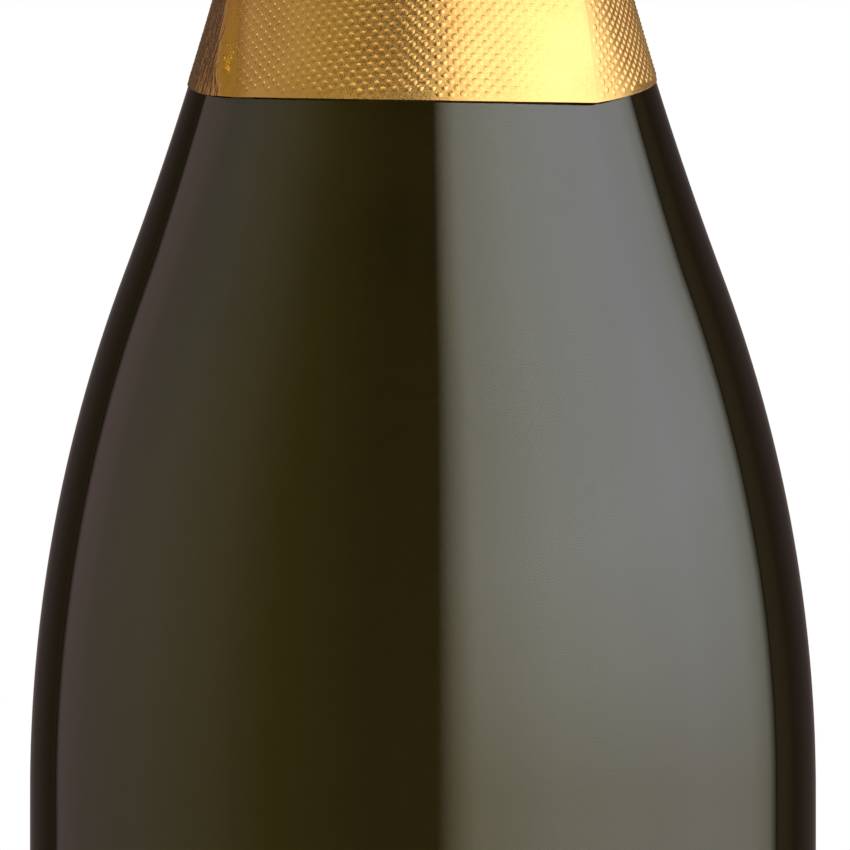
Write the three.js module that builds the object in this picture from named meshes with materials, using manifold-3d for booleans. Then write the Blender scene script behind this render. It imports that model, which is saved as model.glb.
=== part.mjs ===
// Sparkling wine bottle: dark glass holding its wine, a mushroom cork under a wire cage,
// and a foil hood that tears off below the cage and leaves a long collar on the neck.
// Millimetres, +Z up. The origin is the centre of the standing ring, and the front faces -Y.
import * as THREE from 'three';
import { mergeVertices } from 'three/addons/utils/BufferGeometryUtils.js';
import Module from 'manifold-3d';

// Glass: outside
const BODY_RADIUS = 44.5;
const BODY_HEIGHT = 114; // standing plane to the top of the straight wall
const HEEL_RADIUS = 8;
const STANDING_WIDTH = 4;
const PUNT_DEPTH = 33;
const SHOULDER_RADIUS = 167; // convex arc above the straight wall
const SHOULDER_ANGLE = 20.5; // steepest slope, in degrees from upright
const FLARE_RADIUS = 405; // concave arc above the shoulder
const FLARE_END_ANGLE = 15.8; // slope where the tighter arc of the neck takes over, in degrees
const NECK_RADIUS = 13.9;
const NECK_STRAIGHT = 3;
const RING_PROUD = 1.3; // how far the retaining ring stands out from the neck
const RING_HEIGHT = 8;
const RING_ROUND = 1;
const GROOVE_HEIGHT = 3.5;
const LIP_PROUD = 0.6;
const LIP_HEIGHT = 6.5;
const LIP_ROUND = 1.5;

// Glass: inside
const WALL = 5;
const BASE_WALL = 7;
const PUNT_WALL = 6;
const INNER_HEEL_RADIUS = 6;
const BORE_RADIUS = 8.9;
const MOUTH_ROUND = 0.8;
const BORE_BELOW_CORK = 3;
const BORE_BLEND = 6; // height in which the bore widens into the neck's cavity

// Wine and labels
const FILL_DEPTH = 76.5; // top of the lip to the wine's surface
const WINE_GAP = 0.3;
const LABEL_GAP = 0.15;
const LABEL_THICKNESS = 0.2;
const LABEL_BOTTOM = 26;
const FRONT_LABEL_HEIGHT = 72;
const FRONT_LABEL_ANGLE = 120;
const BACK_LABEL_HEIGHT = 56;
const BACK_LABEL_ANGLE = 80;

// Cork
const FIT_GAP = 0.3; // between pieces that seat on, slide in or hook round each other
const CORK_SHANK = 15; // agglomerate part inside the bore
const CORK_DISC = 5;
const GLUE_LINE = 0.1;
const CORK_HEAD_RADIUS = 14.6;
const CORK_HEAD_HEIGHT = 18.5;
const CORK_HEAD_ROUND = 2.5;
const CORK_TOP_RADIUS = 12.6; // stub that the cap plate covers
const CORK_TOP_HEIGHT = 2.5;

// Cap plate
const CAP_FLOOR = 0.5;
const CAP_PANEL = 1.2; // height of the raised middle above the wire's channel
const CAP_RIM_WALL = 0.5;
const CAP_RIM_DROP = 1.4;
const CAP_EDGE = 0.8; // raised edge outside the wire's channel

// Wire cage
const TOP_WIRE_RADIUS = 0.55;
const LEG_RADIUS = 0.85; // over the twisted pair
const LEG_BEND = 2;
const LEG_HOOK = 1.2; // how far a leg reaches in past the top ring
const LEG_COUNT = 4;
const BELT_WIRE_RADIUS = 0.55;
const EYE_WIRE_RADIUS = 0.45;
const STUB_RADIUS = 0.7;
const STUB_PROUD = 0.2; // twisted ends of the belt, past its outside
const LOOP_KNUCKLE = 0.7;
const LOOP_WIRE_RADIUS = 0.55;
const LOOP_NECK = 3;
const LOOP_LENGTH = 15;
const LOOP_WIDTH = 9;
const LOOP_REST_GAP = 0.6; // between the folded loop and the retaining ring

// Foil
const FOIL_GAP = 0.15;
const FOIL_THICKNESS = 0.25;
const HOOD_GAP = 0.5; // between the hood and the cage
const HOOD_ROUND = 1.5;
const HOOD_LIP = 3.5; // width of the skirt's turned-in top
const HOOD_COVER = 1.5; // how far the hood reaches below the belt's middle
const DISC_THICKNESS = 0.5;
const TEAR_GAP = 0.3;
const BAND_HEIGHT = 10;
const TAB_WIDTH = 4.5;
const TAB_ANGLE = 40;
const TAB_CUT_MARGIN = 5; // how far the wedge that cuts the tab out reaches past it, inside and outside
const COLLAR_DROP = 81.5; // sweep's top to the collar's lower edge at the front
const EDGE_CORNER_LEFT = -58; // pleats at the corners of the collar's front, in degrees from the front
const EDGE_CORNER_RIGHT = 49.5;
const EDGE_SIDE_RISE = 2.4; // how far the collar's edge climbs from a corner to the side
const EDGE_TILT = 0.7; // how much lower the right corner is than the left one

// Facets
const SEGMENTS = 40;
const SMALL_SEGMENTS = 32;
const WIRE_SIDES = 6;
const WALL_STEPS = 16;
const CAVITY_STEPS = 12;
const COLLAR_STEPS = 9;
const DOME_STEPS = 5;
const ARC_STEPS = 3;
const LEG_STEPS = 14;
const LOOP_STEPS = 18;
const EYE_STEPS = 14;

const wasm = await Module();
wasm.setup();
const radians = THREE.MathUtils.degToRad;
const point = (radius, height) => new THREE.Vector2(radius, height);

// Outline of the outer wall: arcs that run smoothly into each other
const direction = (degrees) => point(Math.cos(radians(degrees)), Math.sin(radians(degrees)));
const steepest = direction(SHOULDER_ANGLE);
const flareEnd = direction(FLARE_END_ANGLE);
const shoulderCentre = point(BODY_RADIUS - SHOULDER_RADIUS, BODY_HEIGHT);
const flareCentre = shoulderCentre.clone().addScaledVector(steepest, SHOULDER_RADIUS + FLARE_RADIUS);
const flareEndPoint = flareCentre.clone().addScaledVector(flareEnd, -FLARE_RADIUS);
const neckArcRadius = (flareEndPoint.x - NECK_RADIUS) / (1 - flareEnd.x);
const neckCentre = flareEndPoint.clone().addScaledVector(flareEnd, neckArcRadius);

// Radius at a height of the curve that runs parallel to the outer wall at an offset from it
function wallRadius(height, offset) {
  const shoulderReach = SHOULDER_RADIUS + offset;
  const flareReach = FLARE_RADIUS - offset;
  const neckReach = neckArcRadius - offset;
  if (height <= BODY_HEIGHT) {
    return BODY_RADIUS + offset;
  }
  if (height <= BODY_HEIGHT + shoulderReach * steepest.y) {
    return shoulderCentre.x + Math.sqrt(shoulderReach ** 2 - (height - BODY_HEIGHT) ** 2);
  }
  if (height <= flareCentre.y - flareReach * flareEnd.y) {
    return flareCentre.x - Math.sqrt(flareReach ** 2 - (flareCentre.y - height) ** 2);
  }
  if (height <= neckCentre.y) {
    return neckCentre.x - Math.sqrt(neckReach ** 2 - (neckCentre.y - height) ** 2);
  }
  return NECK_RADIUS + offset;
}

function wallProfile(offset, from, to, steps) {
  const heights = Array.from({ length: steps + 1 }, (_, i) => from + ((to - from) * i) / steps);
  return heights.map((height) => point(wallRadius(height, offset), height));
}

// Heights, from the neck up
const sweepTop = neckCentre.y;
const ringRadius = NECK_RADIUS + RING_PROUD;
const ringBottom = sweepTop + NECK_STRAIGHT;
const ringTop = ringBottom + RING_HEIGHT;
const lipRadius = NECK_RADIUS + LIP_PROUD;
const lipBottom = ringTop + GROOVE_HEIGHT;
const lipTop = lipBottom + LIP_HEIGHT;
const corkHeadBottom = lipTop + FIT_GAP;
const corkShoulder = corkHeadBottom + CORK_HEAD_HEIGHT;
const corkTop = corkShoulder + CORK_TOP_HEIGHT;
const capBottom = corkTop + FIT_GAP;
const channelFloor = capBottom + CAP_FLOOR;
const topRingHeight = channelFloor + FIT_GAP + TOP_WIRE_RADIUS;
const legTop = topRingHeight + TOP_WIRE_RADIUS + FIT_GAP + LEG_RADIUS;
const discBottom = legTop + LEG_RADIUS + HOOD_GAP;
const hoodLipBottom = discBottom + DISC_THICKNESS + FIT_GAP;

// Cage and hood radii, from the neck out
const eyeRadius = BELT_WIRE_RADIUS + FIT_GAP + EYE_WIRE_RADIUS;
const beltRadius = NECK_RADIUS + FIT_GAP + eyeRadius + EYE_WIRE_RADIUS;
const beltHeight = ringBottom - FIT_GAP - eyeRadius - EYE_WIRE_RADIUS;
const stubEnd = beltRadius + BELT_WIRE_RADIUS + STUB_PROUD;
const loopHinge = stubEnd + FIT_GAP + LOOP_KNUCKLE;
const legHeadRadius = CORK_HEAD_RADIUS + FIT_GAP + LEG_RADIUS;
const legRingRadius = ringRadius + FIT_GAP + LEG_RADIUS;
const hoodTopInner = legHeadRadius + LEG_RADIUS + HOOD_GAP;
const hoodFootInner = loopHinge + LOOP_KNUCKLE + HOOD_GAP;
const hoodFoot = beltHeight - HOOD_COVER;
const bandTop = hoodFoot - TEAR_GAP;
const bandFoot = bandTop - BAND_HEIGHT;
const collarTop = bandFoot - TEAR_GAP;
const collarFoot = sweepTop - COLLAR_DROP;

// Shape helpers
function arc(centreRadius, centreHeight, radius, from, to) {
  const curve = new THREE.EllipseCurve(
    centreRadius, centreHeight, radius, radius, radians(from), radians(to), to < from);
  return curve.getPoints(ARC_STEPS);
}

function dome(radius, low, high) {
  const curve = new THREE.QuadraticBezierCurve(point(radius, low), point(radius / 2, high), point(0, high));
  return curve.getPoints(DOME_STEPS);
}

function turned(profile, segments) {
  return new THREE.LatheGeometry(profile, segments).rotateX(Math.PI / 2);
}

function turnedRing(profile, segments) {
  return turned([...profile, profile[0]], segments);
}

// Thin shell between two outlines that both run upwards
function turnedShell(inner, outer, segments) {
  return turnedRing([...outer, ...inner.slice().reverse()], segments);
}

function wire(path, radius, steps) {
  const corners = Array.from({ length: WIRE_SIDES }, (_, i) => direction((360 * i) / WIRE_SIDES));
  const section = new THREE.Shape(corners.map((corner) => corner.multiplyScalar(radius)));
  const curve = new THREE.CatmullRomCurve3(path);
  return new THREE.ExtrudeGeometry(section, { steps, bevelEnabled: false, extrudePath: curve });
}

// Prism over a ring sector centred on an angle, which counts from the front (-Y) towards +X
function sector(innerRadius, outerRadius, middle, span, low, height) {
  const from = radians(middle - span / 2 - 90);
  const to = radians(middle + span / 2 - 90);
  const outline = new THREE.Shape();
  outline.absarc(0, 0, outerRadius, from, to, false);
  outline.absarc(0, 0, innerRadius, to, from, true);
  const curveSegments = Math.ceil((SEGMENTS * span) / 360 / 2);
  const prism = new THREE.ExtrudeGeometry(outline, { depth: height, bevelEnabled: false, curveSegments });
  return prism.translate(0, 0, low);
}

// Closed geometry to a solid that can be joined or cut, and back
function solid(geometry) {
  const bare = geometry.clone();
  bare.deleteAttribute('normal');
  bare.deleteAttribute('uv');
  const merged = mergeVertices(bare);
  const vertProperties = new Float32Array(merged.attributes.position.array);
  const triVerts = new Uint32Array(merged.index.array);
  return new wasm.Manifold(new wasm.Mesh({ numProp: 3, vertProperties, triVerts }));
}

function surface(body) {
  const mesh = body.getMesh();
  const geometry = new THREE.BufferGeometry();
  geometry.setAttribute('position', new THREE.BufferAttribute(new Float32Array(mesh.vertProperties), 3));
  geometry.setIndex(new THREE.BufferAttribute(new Uint32Array(mesh.triVerts), 1));
  geometry.computeVertexNormals();
  return geometry;
}

function material(color, roughness, metalness) {
  return new THREE.MeshStandardMaterial({ color, roughness, metalness });
}

const bottle = new THREE.Group();

function add(name, geometry, finish) {
  const mesh = new THREE.Mesh(geometry, finish);
  mesh.name = name;
  bottle.add(mesh);
  return mesh;
}

const foilGold = () => material(0xb5893c, 0.35, 1);
const galvanised = () => material(0xa8a9a6, 0.4, 1);
const paper = () => material(0xe9e3d3, 0.85, 0);
const naturalCork = () => material(0xb98a5c, 0.9, 0);

// Inside of the glass from a height down to the axis, drawn in by a gap
function cavity(gap, top) {
  const heelCentre = point(BODY_RADIUS - WALL - INNER_HEEL_RADIUS, BASE_WALL + INNER_HEEL_RADIUS);
  return [
    ...wallProfile(-WALL - gap, top, BODY_HEIGHT, CAVITY_STEPS),
    ...arc(heelCentre.x, heelCentre.y, INNER_HEEL_RADIUS - gap, 0, -90),
    ...dome(heelCentre.x, BASE_WALL + gap, PUNT_DEPTH + PUNT_WALL + gap).slice(1),
  ];
}

// Round-edged bead on the neck
function bead(radius, low, high, round) {
  return [
    point(NECK_RADIUS, low),
    ...arc(radius - round, low + round, round, -90, 0),
    ...arc(radius - round, high - round, round, 0, 90),
  ];
}

// Glass bottle
const standingOuter = BODY_RADIUS - HEEL_RADIUS;
const corkShankRadius = BORE_RADIUS - FIT_GAP;
const discUpperTop = lipTop - CORK_SHANK;
const discLowerTop = discUpperTop - CORK_DISC - GLUE_LINE;
const boreFoot = discLowerTop - CORK_DISC - BORE_BELOW_CORK;
add('glass_bottle', turned([
  ...dome(standingOuter - STANDING_WIDTH, 0, PUNT_DEPTH).reverse(),
  ...arc(standingOuter, HEEL_RADIUS, HEEL_RADIUS, -90, 0),
  ...wallProfile(0, BODY_HEIGHT, sweepTop, WALL_STEPS),
  ...bead(ringRadius, ringBottom, ringTop, RING_ROUND),
  point(NECK_RADIUS, ringTop),
  ...bead(lipRadius, lipBottom, lipTop, LIP_ROUND),
  ...arc(BORE_RADIUS + MOUTH_ROUND, lipTop - MOUTH_ROUND, MOUTH_ROUND, 90, 180),
  point(BORE_RADIUS, boreFoot),
  ...cavity(0, boreFoot - BORE_BLEND),
], SEGMENTS), material(0x2a2410, 0.05, 0));

// Wine
const fillHeight = lipTop - FILL_DEPTH;
add('wine', turned([...cavity(WINE_GAP, fillHeight).reverse(), point(0, fillHeight)], SEGMENTS),
  material(0xc9a94a, 0.05, 0));

// Labels
const labelInner = BODY_RADIUS + LABEL_GAP;
const labelOuter = labelInner + LABEL_THICKNESS;
add('front_label', sector(labelInner, labelOuter, 0, FRONT_LABEL_ANGLE, LABEL_BOTTOM, FRONT_LABEL_HEIGHT),
  paper());
add('back_label', sector(labelInner, labelOuter, 180, BACK_LABEL_ANGLE, LABEL_BOTTOM, BACK_LABEL_HEIGHT),
  paper());

// Cork: agglomerate body with two discs of natural cork below it
add('cork_body', turned([
  point(0, discUpperTop + GLUE_LINE),
  point(corkShankRadius, discUpperTop + GLUE_LINE),
  point(corkShankRadius, corkHeadBottom),
  ...arc(CORK_HEAD_RADIUS - CORK_HEAD_ROUND, corkHeadBottom + CORK_HEAD_ROUND, CORK_HEAD_ROUND, -90, 0),
  ...arc(CORK_HEAD_RADIUS - CORK_HEAD_ROUND, corkShoulder - CORK_HEAD_ROUND, CORK_HEAD_ROUND, 0, 90),
  point(CORK_TOP_RADIUS, corkShoulder),
  point(CORK_TOP_RADIUS, corkTop),
  point(0, corkTop),
], SMALL_SEGMENTS), material(0xc09468, 0.9, 0));

function corkDisc(name, top) {
  add(name, turned([
    point(0, top - CORK_DISC),
    point(corkShankRadius, top - CORK_DISC),
    point(corkShankRadius, top),
    point(0, top),
  ], SMALL_SEGMENTS), naturalCork());
}
corkDisc('cork_disc_upper', discUpperTop);
corkDisc('cork_disc_lower', discLowerTop);

// Cap plate: rim over the cork's stub, channel for the wire ring, raised middle
const capRimInner = CORK_TOP_RADIUS + FIT_GAP;
const capRadius = capRimInner + CAP_RIM_WALL;
const channelOuter = capRadius - CAP_EDGE;
const topRingRadius = channelOuter - FIT_GAP - TOP_WIRE_RADIUS;
const channelInner = topRingRadius - TOP_WIRE_RADIUS - FIT_GAP;
const capEdgeTop = topRingHeight + TOP_WIRE_RADIUS;
add('cap_plate', turned([
  point(0, capBottom),
  point(capRimInner, capBottom),
  point(capRimInner, capBottom - CAP_RIM_DROP),
  point(capRadius, capBottom - CAP_RIM_DROP),
  point(capRadius, capEdgeTop),
  point(channelOuter, capEdgeTop),
  point(channelOuter, channelFloor),
  point(channelInner, channelFloor),
  point(channelInner, channelFloor + CAP_PANEL),
  point(0, channelFloor + CAP_PANEL),
], SMALL_SEGMENTS), material(0xb08a3e, 0.3, 1));

// Wire cage
const topRing = new THREE.TorusGeometry(topRingRadius, TOP_WIRE_RADIUS, WIRE_SIDES, SMALL_SEGMENTS);
add('cage_top_ring', topRing.translate(0, 0, topRingHeight), galvanised());

// A leg runs over the cap's edge, down past the cork's head and the retaining ring, to its eyelet
const meridian = (radius, height) => new THREE.Vector3(0, -radius, height);
const eyelet = new THREE.TorusGeometry(eyeRadius, EYE_WIRE_RADIUS, WIRE_SIDES, EYE_STEPS);
eyelet.rotateY(Math.PI / 2).translate(0, -beltRadius, beltHeight);
const legRun = wire([
  meridian(topRingRadius - LEG_HOOK, legTop),
  meridian(legHeadRadius - LEG_BEND, legTop),
  meridian(legHeadRadius, legTop - LEG_BEND),
  meridian(legHeadRadius, corkHeadBottom + CORK_HEAD_ROUND),
  meridian(legRingRadius, ringTop),
  meridian(legRingRadius, beltHeight + eyeRadius),
], LEG_RADIUS, LEG_STEPS);
const leg = surface(solid(legRun).add(solid(eyelet)));
for (let i = 0; i < LEG_COUNT; i++) {
  const mesh = add(`cage_leg_${i + 1}`, leg, galvanised());
  mesh.rotation.z = ((i + 0.5) * 2 * Math.PI) / LEG_COUNT;
}

// The belt's ends are twisted into a stub at the front, where the loop folds
const belt = new THREE.TorusGeometry(beltRadius, BELT_WIRE_RADIUS, WIRE_SIDES, SEGMENTS);
belt.translate(0, 0, beltHeight);
const stubLength = stubEnd - beltRadius;
const stub = new THREE.CylinderGeometry(STUB_RADIUS, STUB_RADIUS, stubLength, WIRE_SIDES);
stub.translate(0, -beltRadius - stubLength / 2, beltHeight);
add('cage_belt', surface(solid(belt).add(solid(stub))), galvanised());

// Loop: a knuckle and a twisted neck that open into an eye, folded up against the retaining ring
const loopSide = LOOP_WIDTH / 2 - LOOP_WIRE_RADIUS;
const loopTip = LOOP_LENGTH - LOOP_WIRE_RADIUS;
const bow = loopSide * Math.SQRT1_2;
const rise = (x, z) => new THREE.Vector3(x, 0, z);
const eye = wire([
  rise(-LOOP_WIRE_RADIUS, LOOP_NECK - LOOP_WIRE_RADIUS),
  rise(-loopSide, loopTip - loopSide),
  rise(-bow, loopTip - loopSide + bow),
  rise(0, loopTip),
  rise(bow, loopTip - loopSide + bow),
  rise(loopSide, loopTip - loopSide),
  rise(LOOP_WIRE_RADIUS, LOOP_NECK - LOOP_WIRE_RADIUS),
], LOOP_WIRE_RADIUS, LOOP_STEPS);
const knuckle = new THREE.SphereGeometry(LOOP_KNUCKLE, WIRE_SIDES * 2, WIRE_SIDES);
const loopNeck = wire([rise(0, 0), rise(0, LOOP_NECK)], LOOP_KNUCKLE, 1);
const loop = add('cage_loop', surface(solid(eye).add(solid(loopNeck)).add(solid(knuckle))), galvanised());
const loopRest = ringRadius + LOOP_REST_GAP + LOOP_WIRE_RADIUS;
loop.position.set(0, -loopHinge, beltHeight);
loop.rotation.x = -Math.atan2(loopHinge - loopRest, ringTop - beltHeight);

// Hood: skirt with a turned-in top that holds the disc
function skirtOutline(offset) {
  const top = hoodTopInner + offset;
  const round = HOOD_ROUND + offset;
  return [
    point(hoodFootInner + offset, hoodFoot),
    ...arc(top - round, hoodLipBottom - HOOD_ROUND, round, 0, 90),
    point(hoodTopInner - HOOD_LIP, hoodLipBottom + offset),
  ];
}
add('hood_skirt', turnedShell(skirtOutline(0), skirtOutline(FOIL_THICKNESS), SMALL_SEGMENTS), foilGold());
const discRadius = hoodTopInner - HOOD_ROUND;
add('hood_disc', turned([
  point(0, discBottom),
  point(discRadius, discBottom),
  point(discRadius, discBottom + DISC_THICKNESS),
  point(0, discBottom + DISC_THICKNESS),
], SMALL_SEGMENTS), foilGold());

// Tear band: drawn in from the hood's foot to the neck
const bandLow = point(wallRadius(bandFoot, FOIL_GAP), bandFoot);
const bandHigh = point(hoodFootInner, bandTop);
const bandSlope = bandHigh.clone().sub(bandLow).normalize();
const bandOut = point(bandSlope.y, -bandSlope.x);
const outward = (from, distance) => from.clone().addScaledVector(bandOut, distance);
const bandOutline = (distance) => [outward(bandLow, distance), outward(bandHigh, distance)];
add('tear_band', turnedShell(bandOutline(0), bandOutline(FOIL_THICKNESS), SEGMENTS), foilGold());

// Pull tab: lies round the band from its root on the +X side towards the front
const bandMiddle = bandLow.clone().lerp(bandHigh, 0.5);
const tabLow = bandMiddle.clone().addScaledVector(bandSlope, -TAB_WIDTH / 2);
const tabHigh = bandMiddle.clone().addScaledVector(bandSlope, TAB_WIDTH / 2);
const tabInner = FOIL_THICKNESS + FIT_GAP;
const tabOutline = (distance) => [outward(tabLow, distance), outward(tabHigh, distance)];
const tabRing = turnedShell(tabOutline(tabInner), tabOutline(tabInner + FOIL_THICKNESS), SEGMENTS);
const tabWedge = sector(bandLow.x - TAB_CUT_MARGIN, hoodFootInner + TAB_CUT_MARGIN, 90 - TAB_ANGLE / 2, TAB_ANGLE,
  bandFoot, BAND_HEIGHT);
add('pull_tab', surface(solid(tabRing).intersect(solid(tabWedge))), foilGold());

// Collar: follows the glass; its edge is straight between two pleats and climbs at both sides
function edgeLift(angle) {
  const front = Math.abs(angle) > 90 ? Math.sign(angle) * 180 - angle : angle;
  const corner = front < 0 ? EDGE_CORNER_LEFT : EDGE_CORNER_RIGHT;
  const climb = Math.max(0, (front / corner - 1) / (90 / Math.abs(corner) - 1));
  const across = THREE.MathUtils.clamp(front, EDGE_CORNER_LEFT, EDGE_CORNER_RIGHT);
  const tilt = EDGE_TILT * (0.5 - (across - EDGE_CORNER_LEFT) / (EDGE_CORNER_RIGHT - EDGE_CORNER_LEFT));
  return EDGE_SIDE_RISE * climb + tilt;
}
const collar = turnedShell(
  wallProfile(FOIL_GAP, collarFoot, collarTop, COLLAR_STEPS),
  wallProfile(FOIL_GAP + FOIL_THICKNESS, collarFoot, collarTop, COLLAR_STEPS), SEGMENTS);
const corner = new THREE.Vector3();
const collarPoints = collar.attributes.position;
for (let i = 0; i < collarPoints.count; i++) {
  corner.fromBufferAttribute(collarPoints, i);
  const angle = Math.atan2(corner.x, -corner.y);
  const offset = Math.hypot(corner.x, corner.y) - wallRadius(corner.z, 0);
  const share = (collarTop - corner.z) / (collarTop - collarFoot);
  const height = corner.z + share * edgeLift(THREE.MathUtils.radToDeg(angle));
  const radius = wallRadius(height, 0) + offset;
  collarPoints.setXYZ(i, radius * Math.sin(angle), -radius * Math.cos(angle), height);
}
collar.computeVertexNormals();
add('foil_collar', collar, foilGold());

export default bottle;
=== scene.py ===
import math
from bisect import bisect_right

import bmesh
import bpy
from mathutils import Matrix, Vector, noise


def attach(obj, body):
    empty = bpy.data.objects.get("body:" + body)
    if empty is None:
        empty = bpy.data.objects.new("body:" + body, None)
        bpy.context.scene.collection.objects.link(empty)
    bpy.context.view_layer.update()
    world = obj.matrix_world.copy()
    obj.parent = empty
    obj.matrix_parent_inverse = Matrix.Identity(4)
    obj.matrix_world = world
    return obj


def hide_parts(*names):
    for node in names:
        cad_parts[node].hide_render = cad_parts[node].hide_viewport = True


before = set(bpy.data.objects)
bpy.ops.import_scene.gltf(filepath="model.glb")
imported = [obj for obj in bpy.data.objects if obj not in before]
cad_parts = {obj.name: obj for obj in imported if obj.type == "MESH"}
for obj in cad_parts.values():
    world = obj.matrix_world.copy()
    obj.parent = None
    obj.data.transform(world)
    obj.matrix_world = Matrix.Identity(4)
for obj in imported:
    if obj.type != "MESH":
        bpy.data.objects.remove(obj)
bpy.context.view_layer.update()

# Sizes are in millimetres, as in the part's source, and become metres where a mesh is made.
MM = 0.001

# Glass
BODY_RADIUS = 44.5
BODY_HEIGHT = 114.0
HEEL_RADIUS = 8.0
STANDING_WIDTH = 4.0
PUNT_DEPTH = 33.0
SHOULDER_RADIUS = 167.0
SHOULDER_SLOPE = math.radians(20.5)
FLARE_RADIUS = 405.0
FLARE_END_SLOPE = math.radians(15.8)
NECK_RADIUS = 13.9
RING_BOTTOM = 276.79
RING_TOP = 284.79
RING_RADIUS = 15.2
RING_ROUND = 1.0
LIP_BOTTOM = 288.29
LIP_TOP = 294.79
LIP_RADIUS = 14.5
LIP_ROUND = 1.5
WALL = 5.0
BASE_WALL = 7.0
PUNT_WALL = 6.0
INNER_HEEL = 6.0
BORE_RADIUS = 8.9
BORE_FOOT = 266.69
BORE_BLEND = 6.0
MOUTH_ROUND = 0.8
BEAD_FILLET = 0.12
BEAD_FOOT = 0.4
BEAD_EASE = 0.1
TURN_STEPS = 192

# Wine and labels
WINE_TOP = 218.29
WINE_GAP = 0.3
MENISCUS = 0.9
MENISCUS_REACH = 3.0
MENISCUS_BEND = 1.2
MENISCUS_SHARE = 0.7
FRONT_LABEL_ANGLE = math.radians(120)
FRONT_LABEL_HEIGHT = 72.0
BACK_LABEL_ANGLE = math.radians(80)
BACK_LABEL_HEIGHT = 56.0
LABEL_INNER = 44.65
LABEL_THICKNESS = 0.2
LABEL_BOTTOM = 26.0
LABEL_ROUND = 3.0
LABEL_FRAME_MARGIN = 3.2
LABEL_FRAME_WIDTH = 0.5
LABEL_BEND = math.radians(2.5)

# Cork and cap plate
CORK_SHANK_RADIUS = 8.6
CORK_BODY_BOTTOM = 279.89
CORK_HEAD_BOTTOM = 295.09
CORK_HEAD_RADIUS = 14.6
CORK_HEAD_ROUND = 2.5
CORK_SIDE_FROM = 299.0
CORK_SIDE_TO = 310.0
CORK_SHOULDER = 313.59
CORK_TOP_RADIUS = 12.6
CORK_TOP = 316.09
UPPER_DISC_TOP = 279.79
LOWER_DISC_TOP = 274.69
CORK_DISC = 5.0
CORK_EDGE = 0.35
CORK_DISC_EASE = 0.1
CAP_BOTTOM = 316.39
CAP_SHEET = 0.3
CAP_RADIUS = 13.4
CAP_RIM_INNER = 12.9
CAP_RIM_DROP = 1.4
CAP_EDGE_TOP = 318.29
CHANNEL_FLOOR = 316.89
CHANNEL_OUTER = 12.6
CHANNEL_INNER = 10.9
CHANNEL_EASE = 0.25
CAP_PANEL_TOP = 318.09
CAP_PANEL_ROUND = 0.5
CAP_EDGE_ROUND = 0.4
CAP_RIM_ROUND = 0.2
CAP_STEP_INNER = 6.4
CAP_STEP_OUTER = 7.8
CAP_STEP_SLOPE = 0.3
CAP_STEP_DEPTH = 0.25

# Wire cage
TOP_RING_RADIUS = 11.75
TOP_RING_HEIGHT = 317.74
RING_WIRE = 0.55
LEG_TOP = 319.44
LEG_HOOK_RADIUS = 10.55
LEG_HEAD_RADIUS = 15.75
LEG_HEAD_FOOT = 297.6
LEG_RING_RADIUS = 16.35
LEG_BEND = 2.0
LEG_STRAND = 0.42
LEG_TWIST = 5.0
BELT_RADIUS = 15.95
BELT_HEIGHT = 274.742
EYE_RADIUS = 1.3
EYE_WIRE = 0.45
STUB_END = 16.7
STUB_TWIST = 2.5
LOOP_HINGE = 17.7
LOOP_LEAN = math.radians(-7.65)
LOOP_NECK = 3.0
LOOP_SIDE = 3.95
LOOP_BOW_HEIGHT = 10.5
LOOP_STRAND = 0.35
LOOP_TWIST = 2.6
LOOP_TAIL = 0.3
LOOP_WIRE = 0.5
LOOP_STEP = 0.5
LOOP_START = (0.5, -0.4)
LOOP_SPLAY = (1.7, 2.0)
TWIST_STEP = 0.3

# Foil
FOIL_GAP = 0.03
FOIL_WALL = 0.1
DOT_ACROSS = 1.36
DOT_UP = 1.5
DOT_MARGIN = 0.15
DOT_RADIUS = 0.42
DOT_HEIGHT = 0.2
EVEN_DOTS = [(-180, 1.0), (180, 1.0)]
COLLAR_DOTS = [
    (-180, 1.0),
    (-100, 0.25),
    (-72, 0.25),
    (-58, 1.3),
    (-44, 1.2),
    (-34, 0.48),
    (-22, 0.3),
    (-6, 0.36),
    (-1, 0.85),
    (4, 0.9),
    (8, 0.32),
    (14, 0.3),
    (30, 0.28),
    (44, 0.28),
    (47, 0.7),
    (54, 1.05),
    (60, 1.1),
    (75, 0.85),
    (95, 0.5),
    (180, 1.0),
]
SNAP = 0.06
CUT_SNAP = 0.02
WHOLE_CELL = 0.85
DOTLESS = 0.5
SHARP_SIDE = 1.0
IRON_MARGIN = 1.0
IRON_BLEND = 2.0
COLLAR_FOOT = 192.29
COLLAR_TOP = 262.64
COLLAR_CENTRE = math.radians(8)
COLLAR_BOW = 0.0045
COLLAR_LAP_RADIUS = 20.0
EDGE_CORNER_LEFT = math.radians(-62)
EDGE_CORNER_RIGHT = math.radians(44.6)
EDGE_ROUND_LEFT = 0.1
EDGE_ROUND_RIGHT = 0.02
EDGE_RISE_LEFT = 1.75
EDGE_RISE_RIGHT = 3.2
EDGE_TILT = 0.84
EDGE_DIP = 0.6
EDGE_DROP = 0.03
LEFT_CREASE_FOOT = math.radians(-53.7)
LEFT_CREASE_LEAN = math.radians(-0.86)
LEFT_PLEAT_WIDTH = 9.4
LEFT_PLEAT_TAPER = 0.42
LEFT_PLEAT_FLANK = 2.4
LEFT_PLEAT_MIN = 0.1
HEM = 3.5
HEM_SHARE = 0.15
COLLAR_STAND_OFF = 0.06
COLLAR_STAND_FROM = 1.0
COLLAR_STAND_FULL = 6.0
COLLAR_FLARE = 0.014
COLLAR_FLARE_TOP = 14.0
RIGHT_CREASE = math.radians(44.6)
RIGHT_FLANK = math.radians(14)
RIGHT_PRESSED = math.radians(75)
RIGHT_FOLD_HEIGHT = 1.55
RIGHT_FOLD = [(0, 1.0), (11, 0.575), (19, 0.16), (25.4, 0.0)]
RIGHT_FOLD_FOOT = 0.08
RIGHT_FOLD_GROWTH = 0.09
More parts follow.
